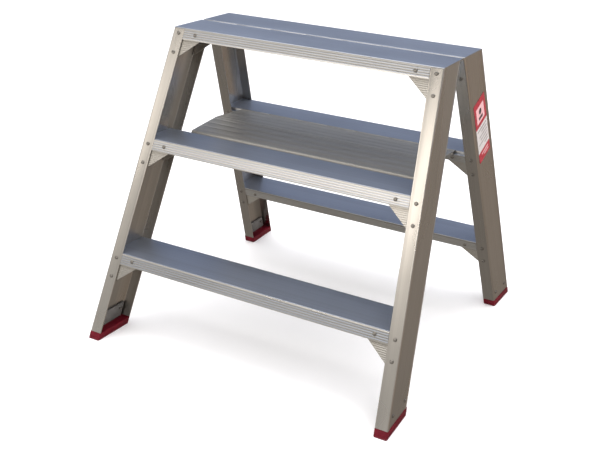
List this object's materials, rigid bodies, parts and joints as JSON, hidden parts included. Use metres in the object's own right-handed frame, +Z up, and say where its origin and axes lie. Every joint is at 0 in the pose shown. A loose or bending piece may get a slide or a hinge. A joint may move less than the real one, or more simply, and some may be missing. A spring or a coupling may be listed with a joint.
{
  "type": "step ladder",
  "caption": "Double-sided folding aluminium step ladder with wide treads, a hinged platform between the frames and red plastic feet.",
  "frame": {"origin": "on the floor, midway between the four feet", "axes": "+Z up; +X along the treads; the front frame leans towards -Y and the rear frame towards +Y"},
  "size_m": [0.929, 0.9586, 0.84],
  "materials": {
    "stile_aluminium": "mill-finish extrusion, satin",
    "tread_aluminium": "mill-finish extrusion with fine ribs, satin",
    "gusset_aluminium": "ribbed extrusion offcut, satin",
    "platform_aluminium": "mill-finish extrusion, slightly dulled",
    "hinge_aluminium": "satin extrusion",
    "rivet_aluminium": "domed blind rivets, satin",
    "pin_steel": "drawn steel",
    "foot_plastic": "moulded crimson plastic",
    "label_film": "printed film"
  },
  "bodies": {
    "front_frame": {"front_left_stile": "stile_aluminium", "front_left_foot": "foot_plastic", "front_left_foot_rivet_1": "rivet_aluminium", "front_left_foot_rivet_2": "rivet_aluminium", "front_left_top_outer_gusset": "gusset_aluminium", "front_left_top_inner_gusset": "gusset_aluminium", "front_left_middle_outer_gusset": "gusset_aluminium", "front_left_middle_inner_gusset": "gusset_aluminium", "front_left_bottom_outer_gusset": "gusset_aluminium", "front_left_bottom_inner_gusset": "gusset_aluminium", "front_right_stile": "stile_aluminium", "front_right_foot": "foot_plastic", "front_right_foot_rivet_1": "rivet_aluminium", "front_right_foot_rivet_2": "rivet_aluminium", "front_right_top_outer_gusset": "gusset_aluminium", "front_right_top_inner_gusset": "gusset_aluminium", "front_right_middle_outer_gusset": "gusset_aluminium", "front_right_middle_inner_gusset": "gusset_aluminium", "front_right_bottom_outer_gusset": "gusset_aluminium", "front_right_bottom_inner_gusset": "gusset_aluminium", "front_top_tread": "tread_aluminium", "front_middle_tread": "tread_aluminium", "front_bottom_tread": "tread_aluminium", "front_top_hinge_leaf": "hinge_aluminium", "top_hinge_pin": "pin_steel"},
    "rear_frame": {"rear_left_stile": "stile_aluminium", "rear_left_foot": "foot_plastic", "rear_left_foot_rivet_1": "rivet_aluminium", "rear_left_foot_rivet_2": "rivet_aluminium", "rear_left_top_outer_gusset": "gusset_aluminium", "rear_left_top_inner_gusset": "gusset_aluminium", "rear_left_middle_outer_gusset": "gusset_aluminium", "rear_left_middle_inner_gusset": "gusset_aluminium", "rear_left_bottom_outer_gusset": "gusset_aluminium", "rear_left_bottom_inner_gusset": "gusset_aluminium", "rear_right_stile": "stile_aluminium", "rear_right_foot": "foot_plastic", "rear_right_foot_rivet_1": "rivet_aluminium", "rear_right_foot_rivet_2": "rivet_aluminium", "rear_right_top_outer_gusset": "gusset_aluminium", "rear_right_top_inner_gusset": "gusset_aluminium", "rear_right_middle_outer_gusset": "gusset_aluminium", "rear_right_middle_inner_gusset": "gusset_aluminium", "rear_right_bottom_outer_gusset": "gusset_aluminium", "rear_right_bottom_inner_gusset": "gusset_aluminium", "rear_top_tread": "tread_aluminium", "rear_middle_tread": "tread_aluminium", "rear_bottom_tread": "tread_aluminium", "rear_top_hinge_leaf": "hinge_aluminium", "label": "label_film", "platform_hinge_plate": "hinge_aluminium", "platform_hinge_pin": "pin_steel"},
    "rear_leaf": {"rear_platform_leaf": "platform_aluminium", "platform_centre_pin": "pin_steel"},
    "front_leaf": {"front_platform_leaf": "platform_aluminium"}
  },
  "joints": [
    {"name": "frame_fold", "type": "hinge", "parent": "front_frame", "child": "rear_frame", "pos_m": [0, 0, 0.8364], "axis": [-1, 0, 0], "range_deg": [0, 44.2]},
    {"name": "rear_leaf_fold", "type": "hinge", "parent": "rear_frame", "child": "rear_leaf", "pos_m": [0, 0.14067, 0.546], "axis": [-1, 0, 0], "range_deg": [0, 86.2]},
    {"name": "front_leaf_fold", "type": "hinge", "parent": "rear_leaf", "child": "front_leaf", "pos_m": [0, 0, 0.5505], "axis": [1, 0, 0], "range_deg": [0, 166.2]}
  ],
  "couplings": [
    {"joint": "rear_leaf_fold", "follows": "frame_fold", "ratio": 1.9457},
    {"joint": "front_leaf_fold", "follows": "frame_fold", "ratio": 3.7557}
  ]
}
